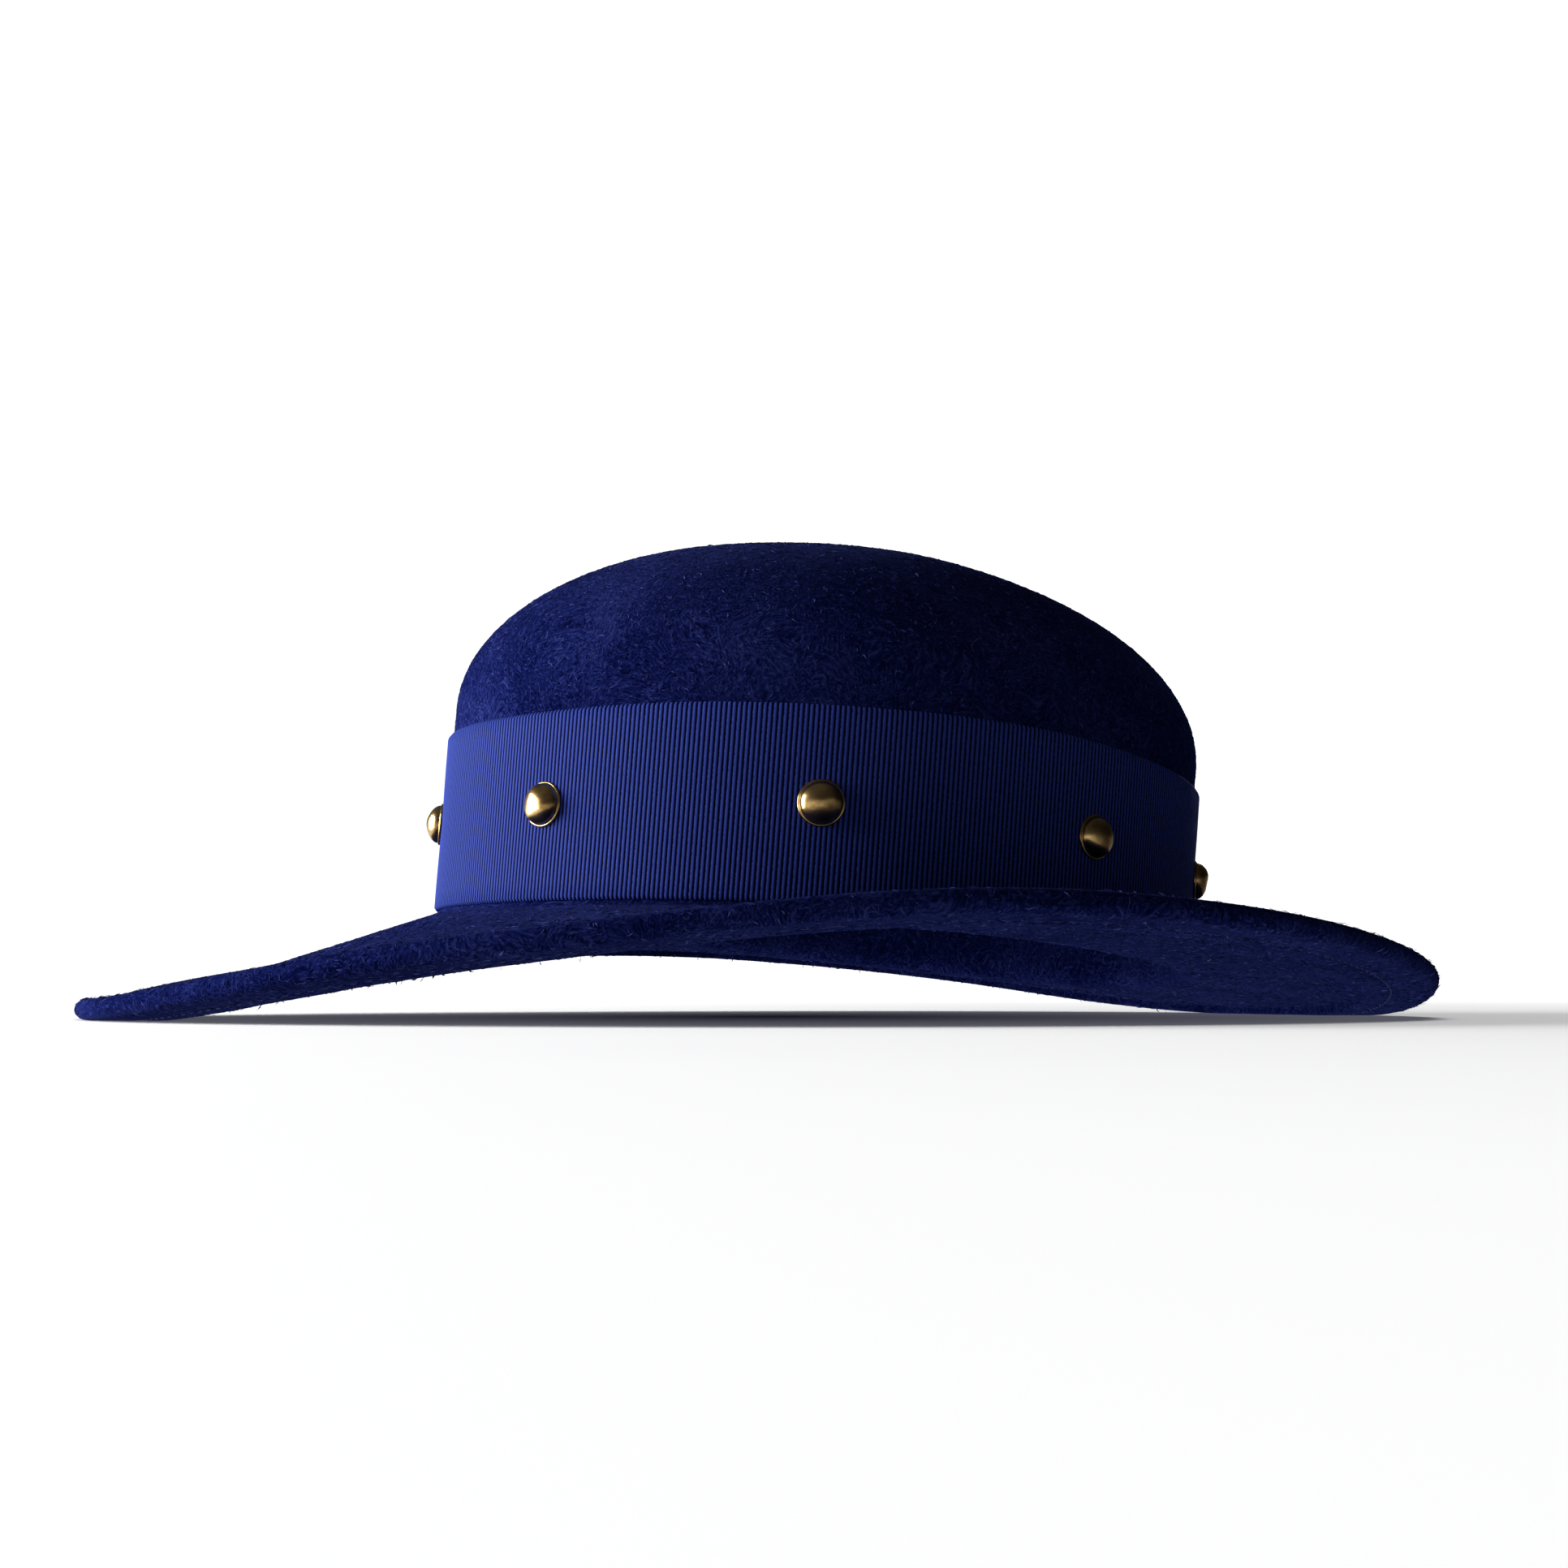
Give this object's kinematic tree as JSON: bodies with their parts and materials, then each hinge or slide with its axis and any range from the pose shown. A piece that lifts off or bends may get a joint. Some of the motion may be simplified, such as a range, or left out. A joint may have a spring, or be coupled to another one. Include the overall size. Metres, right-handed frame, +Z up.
{
  "type": "wide-brim felt hat",
  "caption": "Navy wool-felt hat with a low round crown, a wide saddle-shaped brim with its edge turned under, a ribbed ribbon round the crown and gold domed studs.",
  "frame": {"origin": "middle of the footprint, on the surface that the hat rests on", "axes": "+Z up out of the crown's tip, -Y towards the front of the hat, +X towards the wearer's left"},
  "size_m": [0.3204, 0.344, 0.1241],
  "materials": {
    "felt": "fuzzy navy wool felt",
    "ribbon": "ribbed blue ribbon with a soft sheen",
    "stud": "polished gold-coloured metal"
  },
  "bodies": {
    "root": {"crown": "felt", "brim": "felt", "ribbon": "ribbon", "stud_1": "stud", "stud_2": "stud", "stud_3": "stud", "stud_4": "stud", "stud_5": "stud", "stud_6": "stud", "stud_7": "stud", "stud_8": "stud", "stud_9": "stud"}
  },
  "joints": []
}
